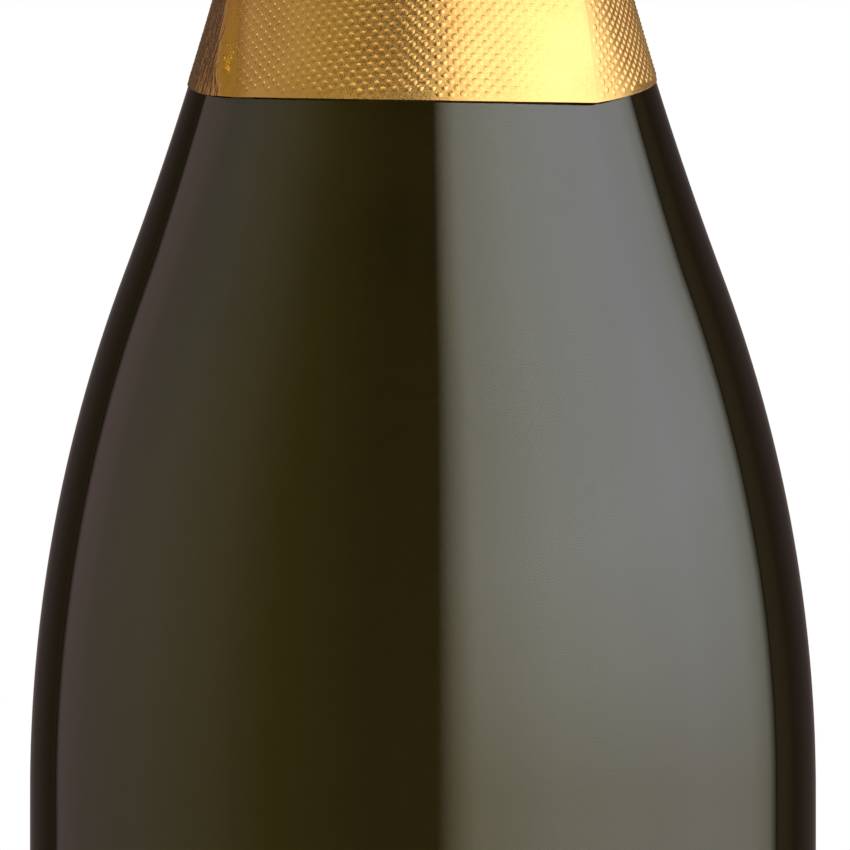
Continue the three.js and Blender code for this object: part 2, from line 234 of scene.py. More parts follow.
RIGHT_FOLD_FULL = 20.0
RIGHT_FOLD_END = 34.0
CRUMPLE_FROM = 0.2
CRUMPLE_FULL = -0.4
CRUMPLE_LIFT = 0.05
CRUMPLE_GRAIN = 1.3
SLACK_LIFT = 0.02
SLACK_GRAIN = 0.16
# Gathered strip of the collar: its streaks and dotless ground, and its painted shade in deeper gold
GATHERED_SHADE = 0.56
GATHERED_SHADE_WIDTH = 6.0
GATHERED_SHADE_FULL = 1.2
GATHERED_SHADE_TOP = 12.0
GATHERED_SHADE_END = 20.0
LAP = 3.0
LAP_RISE = 6.0
LAP_LIFT = 0.3
LAP_PRESSED = 0.12
BAND_FOOT = 262.94
BAND_TOP = 272.94
HOOD_FOOT = 273.24
HOOD_FOOT_INNER = 18.9
HOOD_TOP_INNER = 17.1
HOOD_LIP_BOTTOM = 321.59
HOOD_ROUND = 1.5
HOOD_LIP = 3.5
HOOD_IRONED = 3.2
HOOD_GATHERS = [(17, 1.0, 0.0), (29, 0.7, 1.3), (41, 0.5, 0.4)]
HOOD_GATHER_DEPTH = 0.09
HOOD_GATHER_SHARE = 0.45
HOOD_GATHER_FROM = 4.0
HOOD_GATHER_FULL = 20.0
HOOD_DRIFT = 0.5
HOOD_DRIFT_ROUND = 3.0
HOOD_DRIFT_UP = 0.12
HOOD_CRUMPLE = 0.05
HOOD_DISC_RADIUS = 15.6
HOOD_DISC_BOTTOM = 320.79
HOOD_DISC_HEIGHT = 0.5
HOOD_DISC_SHEET = 0.3
HOOD_DISC_EASE = 0.1
HOOD_WAVE_REACH = 12.8
HOOD_WAVE_LENGTH = 3.2
HOOD_WAVE_DEPTH = 0.12
TAB_FROM = math.radians(50)
TAB_TO = math.radians(90)
TAB_WIDTH = 4.5
TAB_GAP = 0.55

# Finishes
GLASS_DENSITY = 600.0
GLASS_TINT = (0.381, 0.345, 0.185)
GLASS_IOR = 1.7
WINE_IOR = 1.34
FOIL_METALLIC = 0.88
# Deeper gold, painted as shade on the gathered strip of the collar
PAINTED_SHADE_GOLD = (0.62, 0.33, 0.07)

# Photograph: a long lens, level with the shoulder
CAMERA_DISTANCE = 1600.0
PHOTO_WIDTH = 96.28
PHOTO_CENTRE = Vector((0.23, 155.5))
SENSOR = 36.0

AXIS_X = Vector((1, 0, 0))
AXIS_Y = Vector((0, 1, 0))
AXIS_Z = Vector((0, 0, 1))


def along(slope):
    return Vector((math.cos(slope), math.sin(slope)))


shoulder_centre = Vector((BODY_RADIUS - SHOULDER_RADIUS, BODY_HEIGHT))
flare_centre = shoulder_centre + (SHOULDER_RADIUS + FLARE_RADIUS) * along(SHOULDER_SLOPE)
flare_end = flare_centre - FLARE_RADIUS * along(FLARE_END_SLOPE)
neck_arc = (flare_end.x - NECK_RADIUS) / (1 - math.cos(FLARE_END_SLOPE))
neck_centre = flare_end + neck_arc * along(FLARE_END_SLOPE)


def wall_radius(height, offset=0.0):
    """Radius at a height of the curve that runs parallel to the outer wall at an offset."""
    shoulder = SHOULDER_RADIUS + offset
    flare = FLARE_RADIUS - offset
    neck = neck_arc - offset
    if height <= BODY_HEIGHT:
        return BODY_RADIUS + offset
    if height <= BODY_HEIGHT + shoulder * math.sin(SHOULDER_SLOPE):
        return shoulder_centre.x + math.sqrt(shoulder ** 2 - (height - BODY_HEIGHT) ** 2)
    if height <= flare_centre.y - flare * math.sin(FLARE_END_SLOPE):
        return flare_centre.x - math.sqrt(flare ** 2 - (flare_centre.y - height) ** 2)
    if height <= neck_centre.y:
        return neck_centre.x - math.sqrt(neck ** 2 - (neck_centre.y - height) ** 2)
    return NECK_RADIUS + offset


def spread(low, high, steps):
    return [low + (high - low) * i / steps for i in range(steps + 1)]


def wall_outline(offset, low, high, steps):
    return [(wall_radius(height, offset), height) for height in spread(low, high, steps)]


def arc(centre_radius, centre_height, radius, start, end, steps=8):
    points = []
    for angle in spread(start, end, steps):
        turn = math.radians(angle)
        points.append((centre_radius + radius * math.cos(turn), centre_height + radius * math.sin(turn)))
    return points


def dome(radius, low, high, steps=28):
    """Outline of a punt, from its foot to the axis."""
    shares = spread(0, 1, steps)
    return [(radius * (1 - share), low + (high - low) * share * (2 - share)) for share in shares]


def between(stops, value):
    """The value read off a line through pairs of place and value."""
    for (low, before), (high, after) in zip(stops, stops[1:]):
        if value <= high:
            return before + (after - before) * max(0.0, value - low) / (high - low)
    return stops[-1][1]


def smoothstep(low, high, value):
    share = min(1.0, max(0.0, (value - low) / (high - low)))
    return share * share * (3 - 2 * share)


# Shader nodes
class Value:
    """A node's output; arithmetic on it adds Math nodes."""

    def __init__(self, shader, socket):
        self.shader = shader
        self.socket = socket

    def maths(self, operation, first, second):
        return self.shader.node("Math", {"operation": operation}, {0: first, 1: second})

    def __add__(self, other):
        return self.maths("ADD", self, other)

    def __radd__(self, other):
        return self.maths("ADD", other, self)

    def __sub__(self, other):
        return self.maths("SUBTRACT", self, other)

    def __rsub__(self, other):
        return self.maths("SUBTRACT", other, self)

    def __mul__(self, other):
        return self.maths("MULTIPLY", self, other)

    def __rmul__(self, other):
        return self.maths("MULTIPLY", other, self)

    def __truediv__(self, other):
        return self.maths("DIVIDE", self, other)


class Shader:
    """A node tree under construction, for a material or for the world."""

    def __init__(self, owner):
        owner.use_nodes = True
        self.owner = owner
        self.tree = owner.node_tree
        self.tree.nodes.clear()

    def node(self, kind, settings=None, sockets=None, output=0):
        made = self.tree.nodes.new("ShaderNode" + kind)
        for key, setting in (settings or {}).items():
            if key == "stops":
                self.set_stops(made.color_ramp, setting)
            else:
                setattr(made, key, setting)
        for key, value in (sockets or {}).items():
            self.feed(made.inputs[key], value)
        return Value(self, made.outputs[output]) if made.outputs else made

    def set_stops(self, ramp, stops):
        while len(ramp.elements) < len(stops):
            ramp.elements.new(0.5)
        for element, (position, colour) in zip(ramp.elements, stops):
            element.position = position
            element.color = (*colour, 1)

    def feed(self, socket, value):
        if isinstance(value, Value):
            self.tree.links.new(value.socket, socket)
        elif socket.type == "RGBA":
            socket.default_value = (*value, 1)
        else:
            socket.default_value = value

    def place(self):
        return self.node("TexCoord", output="Object")

    def noise(self, scale, detail=2.0, roughness=0.5, vector=None, output=0):
        sockets = {"Scale": scale, "Detail": detail, "Roughness": roughness, "Vector": vector or self.place()}
        return self.node("TexNoise", sockets=sockets, output=output)

    def ramp(self, factor, *stops):
        return self.node("ValToRGB", {"stops": stops}, {0: factor})

    def fit(self, value, low, high, to_low, to_high):
        sockets = {"Value": value, 1: low, 2: high, 3: to_low, 4: to_high}
        return self.node("MapRange", {"clamp": True}, sockets)

    def mix(self, factor, first, second, blend="MIX"):
        settings = {"data_type": "RGBA", "blend_type": blend}
        return self.node("Mix", settings, {0: factor, 6: first, 7: second}, output=2)

    def bump(self, height, distance):
        return self.node("Bump", sockets={"Height": height, "Distance": distance, "Strength": 1.0})

    def surface(self, sockets, volume=None):
        body = self.node("BsdfPrincipled", sockets=sockets)
        ends = {"Surface": body}
        if volume:
            ends["Volume"] = volume
        self.node("OutputMaterial", sockets=ends)
        return self.owner


def finish(name):
    return Shader(bpy.data.materials.new(name))


def dark_glass():
    """Olive bottle glass: its hard oxide coat mirrors more than bare glass, its body swallows most light."""
    shader = finish("dark_glass")
    smears = shader.noise(55, 3)
    ripple = shader.noise(28, 1)
    absorb = shader.node("VolumeAbsorption", sockets={"Color": GLASS_TINT, "Density": GLASS_DENSITY})
    return shader.surface({
        "Base Color": (1, 1, 1),
        "Roughness": shader.fit(smears, 0.35, 0.75, 0.015, 0.05),
        "IOR": GLASS_IOR,
        "Transmission Weight": 1.0,
        "Normal": shader.bump(ripple, 0.00008),
    }, absorb)


def wine_liquid():
    shader = finish("pale_wine")
    shade = shader.noise(30, 1)
    return shader.surface({
        "Base Color": shader.ramp(shade, (0.3, (0.93, 0.83, 0.5)), (0.7, (0.96, 0.87, 0.56))),
        "Roughness": 0.0,
        "IOR": WINE_IOR,
        "Transmission Weight": 1.0,
    })


def gold_foil():
    """Gold lacquered foil with a fine rolling grain.

    Where the attribute says so it has streaky crumples, and painted shade in deeper gold where only gathered.
    """
    shader = finish("gold_foil")
    crumple = shader.node("Attribute", {"attribute_name": "crumple"}, output="Fac")
    tone = shader.noise(160, 3)
    grain = shader.noise(9000, 1)
    dents = shader.noise(420, 4, 0.6)
    stretched = shader.node("VectorMath", {"operation": "MULTIPLY"}, {0: shader.place(), 1: (1, 1, 0.3)})
    creases = shader.noise(900, 3, 0.55, stretched)
    rough = shader.fit(grain, 0.35, 0.65, 0.2, 0.42) * (1 - crumple * 0.5)
    height = dents * 0.35 + crumple * (creases * 3.0)
    plain = shader.ramp(tone, (0.35, (0.78, 0.435, 0.15)), (0.65, (0.855, 0.5, 0.18)))
    # Painted shade: deeper gold on the gathered strip right of the left crease, standing in for its shadow
    # side
    painted_shade_mask = shader.fit(crumple, 0.12, 0.45, 0, 1) * shader.fit(crumple, 0.6, 0.9, 1, 0)
    return shader.surface({
        "Base Color": shader.mix(painted_shade_mask, plain, PAINTED_SHADE_GOLD),
        "Metallic": FOIL_METALLIC,
        "Roughness": rough,
        "Normal": shader.bump(height, 0.00012),
    })


def cap_lacquer():
    shader = finish("cap_lacquer")
    scuffs = shader.noise(700, 4, 0.65)
    colour = shader.ramp(scuffs, (0.35, (0.70, 0.44, 0.12)), (0.7, (0.80, 0.55, 0.19)))
    return shader.surface({
        "Base Color": colour,
        "Metallic": 0.9,
        "Roughness": shader.fit(scuffs, 0.3, 0.7, 0.22, 0.4),
        "Coat Weight": 0.4,
        "Normal": shader.bump(scuffs, 0.00003),
    })


def galvanised_wire():
    shader = finish("galvanised_wire")
    spangle = shader.node("TexVoronoi", {"feature": "F1"}, {"Vector": shader.place(), "Scale": 900}, "Color")
    drawn = shader.noise(1500, 3)
    tone = shader.mix(0.25, shader.ramp(drawn, (0.3, (0.50, 0.50, 0.49)), (0.7, (0.66, 0.66, 0.64))), spangle)
    return shader.surface({
        "Base Color": shader.mix(0.85, tone, (0.60, 0.60, 0.58)),
        "Metallic": 1.0,
        "Roughness": shader.fit(drawn, 0.3, 0.7, 0.28, 0.45),
        "Normal": shader.bump(drawn, 0.00003),
    })


def granulated_cork():
    """Agglomerate: packed granules of many browns with dark glue between them."""
    shader = finish("granulated_cork")
    place = shader.place()
    wobble = shader.noise(700, 2, vector=place, output=1)
    bent = shader.node("VectorMath", {"operation": "MULTIPLY_ADD"}, {0: wobble, 1: (0.0012,) * 3, 2: place})
    cells = {"Vector": bent, "Scale": 420}
    tint = shader.node("TexVoronoi", {"feature": "F1"}, cells, "Color")
    rim = shader.node("TexVoronoi", {"feature": "DISTANCE_TO_EDGE"}, cells)
    tone = shader.node("SeparateColor", sockets={0: tint})
    speck = shader.noise(2600, 3, 0.7, place)
    granule = shader.ramp(
        tone, (0.1, (0.40, 0.23, 0.115)), (0.55, (0.58, 0.37, 0.20)), (0.9, (0.70, 0.49, 0.29)))
    seam = shader.fit(rim, 0.02, 0.12, 0, 1)
    colour = shader.mix(seam, (0.25, 0.135, 0.065), granule)
    pits = shader.fit(speck, 0.36, 0.46, 0, 1)
    return shader.surface({
        "Base Color": shader.mix(pits, (0.22, 0.12, 0.06), colour),
        "Roughness": 0.85,
        "Normal": shader.bump(seam * 0.6 + pits * 0.4, 0.00018),
    })


def natural_cork():
    shader = finish("natural_cork")
    place = shader.place()
    rings = shader.node("TexWave", {"wave_type": "BANDS", "bands_direction": "X"}, {
        "Vector": place, "Scale": 170, "Distortion": 5, "Detail": 3, "Detail Scale": 2})
    speck = shader.noise(1500, 4, 0.7, place)
    pores = shader.fit(speck, 0.33, 0.42, 0, 1)
    bark = shader.mix(rings * 0.45, (0.58, 0.38, 0.215), (0.44, 0.27, 0.145))
    return shader.surface({
        "Base Color": shader.mix(pores, (0.20, 0.11, 0.055), bark),
        "Roughness": 0.82,
        "Normal": shader.bump(pores, 0.00015),
    })


def label_paper():
    shader = finish("label_paper")
    fibre = shader.noise(1400, 4, 0.65)
    cloud = shader.noise(70, 2)
    shade = shader.ramp(cloud * 0.6 + fibre * 0.4, (0.35, (0.70, 0.65, 0.53)), (0.65, (0.75, 0.70, 0.58)))
    return shader.surface({
        "Base Color": shade,
        "Roughness": shader.fit(fibre, 0.3, 0.7, 0.75, 0.9),
        "Normal": shader.bump(fibre, 0.00006),
    })


# Mesh making
def show(name, bm, looks, body, nodes, sharp=35):
    """Make a mesh in millimetres a piece that rides on a body in place of its CAD nodes."""
    bmesh.ops.scale(bm, vec=(MM, MM, MM), verts=bm.verts)
    mesh = bpy.data.meshes.new(name)
    bm.to_mesh(mesh)
    bm.free()
    if sharp:
        mesh.shade_smooth()
        mesh.set_sharp_from_angle(angle=math.radians(sharp))
    for look in looks:
        mesh.materials.append(look)
    shown = bpy.data.objects.new(name, mesh)
    bpy.context.scene.collection.objects.link(shown)
    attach(shown, body)
    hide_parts(*nodes)
    return shown


def spun(bm, geometry, angle=math.tau, steps=TURN_STEPS, centre=(0, 0, 0), axis=(0, 0, 1)):
    whole = abs(angle - math.tau) < 1e-6
    bmesh.ops.spin(bm, geom=geometry, cent=centre, axis=axis, angle=angle, steps=steps, use_merge=whole)


def turned(outline, steps=TURN_STEPS):
    """Turn an outline of (radius, height) points round the bottle's axis."""
    bm = bmesh.new()
    points = [bm.verts.new((radius, 0, height)) for radius, height in outline]
    edges = [bm.edges.new(pair) for pair in zip(points, points[1:])]
    spun(bm, points + edges, steps=steps)
    bmesh.ops.remove_doubles(bm, verts=bm.verts, dist=1e-5)
    bmesh.ops.recalc_face_normals(bm, faces=bm.faces)
    return bm


def bead(radius, low, high, rounding):
    return [
        (NECK_RADIUS, low - BEAD_FOOT),
        (NECK_RADIUS + BEAD_FILLET, low - BEAD_EASE),
        *arc(radius - rounding, low + rounding, rounding, -90, 0),
        *arc(radius - rounding, high - rounding, rounding, 0, 90),
    ]


def cavity(gap, top):
    heel_radius = BODY_RADIUS - WALL - INNER_HEEL
    return [
        *wall_outline(-WALL - gap, top, BODY_HEIGHT, 72),
        *arc(heel_radius, BASE_WALL + INNER_HEEL, INNER_HEEL - gap, 0, -90),
        *dome(heel_radius, BASE_WALL + gap, PUNT_DEPTH + PUNT_WALL + gap)[1:],
    ]


def glass():
    standing = BODY_RADIUS - HEEL_RADIUS
    return turned([
        *reversed(dome(standing - STANDING_WIDTH, 0, PUNT_DEPTH)),
        *arc(standing, HEEL_RADIUS, HEEL_RADIUS, -90, 0, 14),
        *wall_outline(0, BODY_HEIGHT, neck_centre.y, 96),
        *bead(RING_RADIUS, RING_BOTTOM, RING_TOP, RING_ROUND),
        (NECK_RADIUS + BEAD_FILLET, RING_TOP + BEAD_EASE),
        *bead(LIP_RADIUS, LIP_BOTTOM, LIP_TOP, LIP_ROUND),
        *arc(BORE_RADIUS + MOUTH_ROUND, LIP_TOP - MOUTH_ROUND, MOUTH_ROUND, 90, 180),
        (BORE_RADIUS, BORE_FOOT),
        *cavity(0, BORE_FOOT - BORE_BLEND),
    ])


def wine():
    rim = wall_radius(WINE_TOP, -WALL - WINE_GAP)
    surface = [
        (0, WINE_TOP - MENISCUS),
        (rim - MENISCUS_REACH, WINE_TOP - MENISCUS),
        (rim - MENISCUS_BEND, WINE_TOP - MENISCUS_SHARE * MENISCUS),
    ]
    return turned([*surface, *cavity(WINE_GAP, WINE_TOP)], steps=128)


def label(width_angle, height, middle):
    """Paper with round corners and a thin gilt frame, bent round the body."""
    bm = bmesh.new()
    half = (LABEL_INNER + LABEL_THICKNESS) * width_angle / 2
    bmesh.ops.create_grid(bm, x_segments=1, y_segments=1, size=1)
    bmesh.ops.scale(bm, vec=(half, height / 2, 1), verts=bm.verts)
    bmesh.ops.bevel(bm, geom=bm.verts[:], offset=LABEL_ROUND, affect="VERTICES", segments=6,
                    profile=0.5, material=-1)
    sheet = bm.faces[:]
    bmesh.ops.inset_region(bm, faces=sheet, thickness=LABEL_FRAME_MARGIN, use_even_offset=True)
    framed = bmesh.ops.inset_region(bm, faces=sheet, thickness=LABEL_FRAME_WIDTH, use_even_offset=True)
    for face in framed["faces"]:
        face.material_index = 1
    back = bmesh.ops.extrude_face_region(bm, geom=bm.faces[:], use_keep_orig=True)["geom"]
    moved = [part for part in back if isinstance(part, bmesh.types.BMVert)]
    bmesh.ops.translate(bm, vec=(0, 0, -LABEL_THICKNESS), verts=moved)
    bmesh.ops.recalc_face_normals(bm, faces=bm.faces)
    for cut in spread(-half, half, math.ceil(width_angle / LABEL_BEND))[1:-1]:
        geometry = bm.verts[:] + bm.edges[:] + bm.faces[:]
        bmesh.ops.bisect_plane(bm, geom=geometry, plane_co=(cut, 0, 0), plane_no=(1, 0, 0), dist=1e-5)
    for vert in bm.verts:
        angle = vert.co.x / (LABEL_INNER + LABEL_THICKNESS) + middle
        radius = LABEL_INNER + LABEL_THICKNESS + vert.co.z
        height_there = vert.co.y + LABEL_BOTTOM + height / 2
        vert.co = (radius * math.sin(angle), -radius * math.cos(angle), height_there)
    return bm


class Outline:
    """A foil's inner outline from its foot up: place and outward direction at a distance along it."""

    def __init__(self, points):
        self.points = [Vector(point) for point in points]
        self.reach = [0.0]
        for low, high in zip(self.points, self.points[1:]):
            self.reach.append(self.reach[-1] + (high - low).length)
        self.length = self.reach[-1]
        self.outward = []
        for i in range(len(self.points)):
            run = self.points[min(i + 1, len(self.points) - 1)] - self.points[max(i - 1, 0)]
            self.outward.append(Vector((run.y, -run.x)).normalized())

    def at(self, distance):
        distance = min(self.length, max(0.0, distance))
        i = min(bisect_right(self.reach, distance), len(self.reach) - 1) - 1
        share = (distance - self.reach[i]) / (self.reach[i + 1] - self.reach[i])
        place = self.points[i].lerp(self.points[i + 1], share)
        return place, self.outward[i].lerp(self.outward[i + 1], share)


def level_edge(angle):
    return 0.0


def no_relief(angle, distance):
    return 0.0, 0.0


def add_dots(bm, faces):
    """Raise a round dot on each face of the flat sheet, with a crisp foot."""
    bmesh.ops.inset_individual(bm, faces=faces, thickness=DOT_MARGIN, depth=0, use_even_offset=True)
    sides = list({edge for face in faces for edge in face.edges})
    bmesh.ops.subdivide_edges(bm, edges=sides, cuts=1)
    for face in faces:
        middle = face.calc_center_median()
        for vert in face.verts:
            vert.co = middle + (vert.co - middle).normalized() * DOT_RADIUS
        for edge in face.edges:
            edge.smooth = False
    bmesh.ops.poke(bm, faces=faces, offset=DOT_HEIGHT, center_mode="MEAN")


def embossed(outline, start, end, centre=0.0, bow=0.0, edge=level_edge, relief=no_relief,
             lapped=True, ironed=0.0, folds=(), worn=EVEN_DOTS):
    """A foil sheet with a staggered lattice of raised dots, wrapped round the axis.

    The lattice is laid out on the flat sheet, cut to the sheet's outline, given its thickness and dots,
    and then wrapped. Angles count from the front towards +X, and the sheet's middle is at centre. The
    sheet is pressed flat where its relief crumples it, and over the ironed length at its top. Folds are
    pairs of the angle at the foot and the lean, an angle for each millimetre up the sheet. Worn lists
    pairs of an angle in degrees and the dots' height there, as a share of the full height.
    """
    def radius_at(distance):
        return outline.at(distance)[0].x

    def unwrap(x, y):
        distance = y - bow * x * x
        return x / radius_at(distance), distance

    widest = max(point.x for point in outline.points)
    reach = max(abs(start), abs(end)) * widest + DOT_ACROSS
    top = outline.length + bow * reach * reach + DOT_UP
    first = -math.ceil((reach / DOT_ACROSS) + 2)
    cells = math.ceil(reach / DOT_ACROSS + top / DOT_UP) + 4 - first

    bm = bmesh.new()
    bmesh.ops.create_grid(bm, x_segments=cells, y_segments=cells, size=cells / 2)
    for vert in bm.verts:
        i = vert.co.x + cells / 2 + first
        j = vert.co.y + cells / 2 + first
        vert.co = ((i - j) * DOT_ACROSS / 2, (i + j) * DOT_UP / 2, 0)
    outside = []
    for vert in bm.verts:
        inside = -2 * DOT_UP < vert.co.y < top + DOT_UP and abs(vert.co.x) < reach + DOT_ACROSS
        if not inside:
            outside.append(vert)
    bmesh.ops.delete(bm, geom=outside, context="VERTS")

    for vert in bm.verts:
        angle, distance = unwrap(vert.co.x, vert.co.y)
        low = edge(angle + centre)
        vert.co = (angle * widest, (distance - low) * outline.length / (outline.length - low), 0)
    cuts = [
        ((start * widest, 0, 0), (-1, 0, 0)),
        ((end * widest, 0, 0), (1, 0, 0)),
        ((0, 0, 0), (0, -1, 0)),
        ((0, outline.length, 0), (0, 1, 0)),
    ]
    for place, facing in cuts:
        geometry = bm.verts[:] + bm.edges[:] + bm.faces[:]
        bmesh.ops.bisect_plane(
            bm, geom=geometry, plane_co=place, plane_no=facing, dist=CUT_SNAP, clear_outer=True)
    for foot, lean in folds:
        geometry = bm.verts[:] + bm.edges[:] + bm.faces[:]
        place = ((foot - centre) * widest, 0, 0)
        facing = (1, -lean * widest, 0)
        bmesh.ops.bisect_plane(bm, geom=geometry, plane_co=place, plane_no=facing, dist=CUT_SNAP)
    for vert in bm.verts:
        angle = vert.co.x / widest
        low = edge(angle + centre)
        distance = low + vert.co.y * (outline.length - low) / outline.length
        x = angle * radius_at(distance)
        vert.co = (x, distance + bow * x * x, 0)
    bmesh.ops.remove_doubles(bm, verts=bm.verts, dist=SNAP)

    raised = bmesh.ops.extrude_face_region(bm, geom=bm.faces[:], use_keep_orig=True)["geom"]
    top_verts = [part for part in raised if isinstance(part, bmesh.types.BMVert)]
    top_faces = [part for part in raised if isinstance(part, bmesh.types.BMFace)]
    bmesh.ops.translate(bm, vec=(0, 0, FOIL_WALL), verts=top_verts)
    bmesh.ops.recalc_face_normals(bm, faces=bm.faces)
    whole = WHOLE_CELL * DOT_ACROSS * DOT_UP / 2
    flat_from = outline.length - ironed

    def carries_dot(face):
        middle = face.calc_center_median()
        angle, distance = unwrap(middle.x, middle.y)
        if len(face.verts) != 4 or face.calc_area() < whole:
            return False
        if ironed and distance > flat_from - IRON_MARGIN:
            return False
        return relief(angle + centre, distance)[1] < DOTLESS

    def on_fold(vert):
        angle, distance = unwrap(vert.co.x, vert.co.y)
        gaps = [abs(angle + centre - foot - lean * distance) * radius_at(distance) for foot, lean in folds]
        return any(gap < SNAP for gap in gaps)

    for face in bm.faces:
        face.smooth = True
    for side in bm.edges:
        painted_shade_mask = all(on_fold(vert) for vert in side.verts)
        side.smooth = side.calc_face_angle(0) < SHARP_SIDE and not painted_shade_mask
    add_dots(bm, [face for face in top_faces if carries_dot(face)])

    # Per-vertex crumple; on the collar it also carries the painted shade of the gathered strip
    crumple = bm.verts.layers.float.new("crumple")
    for vert in bm.verts:
        angle, distance = unwrap(vert.co.x, vert.co.y)
        place, outward = outline.at(distance)
        stand_off, crumpled = relief(angle + centre, distance)
        pressed = smoothstep(flat_from - IRON_BLEND, flat_from, distance) if ironed else 0.0
        stand_off *= 1 - pressed
        if lapped:
            rise = smoothstep(end - (LAP + LAP_RISE) / place.x, end - LAP / place.x, angle)
            stand_off += rise * (LAP_LIFT + (LAP_PRESSED - LAP_LIFT) * pressed)
        dot = max(0.0, vert.co.z - FOIL_WALL)
        kept = between(worn, math.degrees(math.remainder(angle + centre, math.tau)))
        lift = vert.co.z - dot + dot * kept + stand_off
        vert[crumple] = crumpled
        radius = place.x + outward.x * lift
        turn = angle + centre
        vert.co = (radius * math.sin(turn), -radius * math.cos(turn), place.y + outward.y * lift)
    return bm


def wrap_ends(radius):
    return -math.pi, math.pi + LAP / radius


def collar_edge(angle):
    """How far the collar's lower edge climbs: nearly level between two corners, rising to the sides."""
    angle = math.remainder(angle, math.tau)
    mirrored = angle
    if abs(angle) > math.pi / 2:
        mirrored = math.copysign(math.pi, angle) - angle
    corner, rounding, rise = EDGE_CORNER_LEFT, EDGE_ROUND_LEFT, EDGE_RISE_LEFT
    if mirrored > 0:
        corner, rounding, rise = EDGE_CORNER_RIGHT, EDGE_ROUND_RIGHT, EDGE_RISE_RIGHT
    past = abs(mirrored) - abs(corner)
    climb = (past + math.sqrt(past * past + rounding * rounding)) / 2 / (math.pi / 2 - abs(corner))
    across = min(EDGE_CORNER_RIGHT, max(EDGE_CORNER_LEFT, mirrored))
    tilt = EDGE_TILT * (0.5 - (across - EDGE_CORNER_LEFT) / (EDGE_CORNER_RIGHT - EDGE_CORNER_LEFT))
    return rise * climb + tilt + EDGE_TILT + EDGE_DIP * (1 - math.cos(mirrored)) - EDGE_DROP


def collar_relief(angle, distance):
    """Lift, and crumple with painted shade, of the collar: a flat pleat at the left, a standing fold at the
    right.
    """
    angle = math.remainder(angle, math.tau)
    girth = wall_radius(COLLAR_FOOT + distance)
    left = (angle - LEFT_CREASE_FOOT - LEFT_CREASE_LEAN * distance) * girth
    width = max(LEFT_PLEAT_MIN, LEFT_PLEAT_WIDTH - LEFT_PLEAT_TAPER * distance)
    pleat = smoothstep(LEFT_PLEAT_FLANK, 0, left) if left > 0 else max(0.0, 1 + left / width) ** 2
    above = distance - collar_edge(angle)
    hemmed = HEM_SHARE + (1 - HEM_SHARE) * smoothstep(0, HEM, above)
    lift = width * width / (2 * girth) * pleat * hemmed
    beside = smoothstep(COLLAR_STAND_FROM, COLLAR_STAND_FULL, left)
    beside *= smoothstep(RIGHT_PRESSED, RIGHT_CREASE, angle)
    lift += (COLLAR_STAND_OFF + COLLAR_FLARE * max(0.0, COLLAR_FLARE_TOP - distance)) * beside
    fold = smoothstep(RIGHT_FLANK, RIGHT_CREASE, angle)
    if angle > RIGHT_CREASE:
        fold = between(RIGHT_FOLD, math.degrees(angle - RIGHT_CREASE))
    grown = min(1.0, RIGHT_FOLD_FOOT + RIGHT_FOLD_GROWTH * max(0.0, above))
    lift += RIGHT_FOLD_HEIGHT * fold * grown * smoothstep(RIGHT_FOLD_END, RIGHT_FOLD_FULL, distance)
    crumpled = smoothstep(CRUMPLE_FROM, CRUMPLE_FULL, left) * smoothstep(-2 * width, -width, left)
    here = Vector((girth * math.sin(angle), -girth * math.cos(angle), distance))
    lift += CRUMPLE_LIFT * crumpled * (1 + noise.noise(here * CRUMPLE_GRAIN))
    lift += SLACK_LIFT * (1 + noise.noise(here * SLACK_GRAIN))
    # Gathered strip right of the left crease: streakier foil without dots, and a painted shade in deeper gold
    gathered_with_shade = 0.0
    if left > 0:
        gathered_with_shade = GATHERED_SHADE * smoothstep(GATHERED_SHADE_WIDTH, GATHERED_SHADE_FULL, left)
        gathered_with_shade *= smoothstep(GATHERED_SHADE_END, GATHERED_SHADE_TOP, distance)
    return lift, max(crumpled, gathered_with_shade)


def collar_foil():
    outline = Outline(wall_outline(FOIL_GAP, COLLAR_FOOT - EDGE_DIP - EDGE_TILT, COLLAR_TOP, 60))
    start, end = wrap_ends(COLLAR_LAP_RADIUS)
    folds = [(LEFT_CREASE_FOOT, LEFT_CREASE_LEAN), (RIGHT_CREASE, 0.0)]
    return embossed(outline, start, end, COLLAR_CENTRE, COLLAR_BOW, collar_edge, collar_relief, folds=folds,
                    worn=COLLAR_DOTS)


def hood_relief(angle, distance):
    """Gathers that run down the hood from its rounded top."""
    gather = sum(share * math.sin(count * angle + shift) for count, share, shift in HOOD_GATHERS)
    depth = HOOD_GATHER_DEPTH * smoothstep(HOOD_GATHER_FROM, HOOD_GATHER_FULL, distance)
    x = math.sin(angle) * HOOD_DRIFT_ROUND
    y = math.cos(angle) * HOOD_DRIFT_ROUND
    drift = 1 + HOOD_DRIFT * noise.noise(Vector((x, y, distance * HOOD_DRIFT_UP)))
    return depth * (1 + HOOD_GATHER_SHARE * gather * drift), HOOD_CRUMPLE


def hood_foil():
    round_part = arc(HOOD_TOP_INNER - HOOD_ROUND, HOOD_LIP_BOTTOM - HOOD_ROUND, HOOD_ROUND, 0, 90)
    straight = [Vector((HOOD_FOOT_INNER, HOOD_FOOT)).lerp(Vector(round_part[0]), i / 20) for i in range(20)]
    outline = Outline([*straight, *round_part, (HOOD_TOP_INNER - HOOD_LIP, HOOD_LIP_BOTTOM)])
    start, end = wrap_ends(HOOD_TOP_INNER)
    return embossed(outline, start, end, relief=hood_relief, ironed=HOOD_IRONED)


def band_points():
    low = Vector((wall_radius(BAND_FOOT, FOIL_GAP), BAND_FOOT))
    high = Vector((HOOD_FOOT_INNER, BAND_TOP))
    return low, high


def band_foil():
    low, high = band_points()
    start, end = wrap_ends(low.x)
    return embossed(Outline([low.lerp(high, i / 12) for i in range(13)]), start, end)


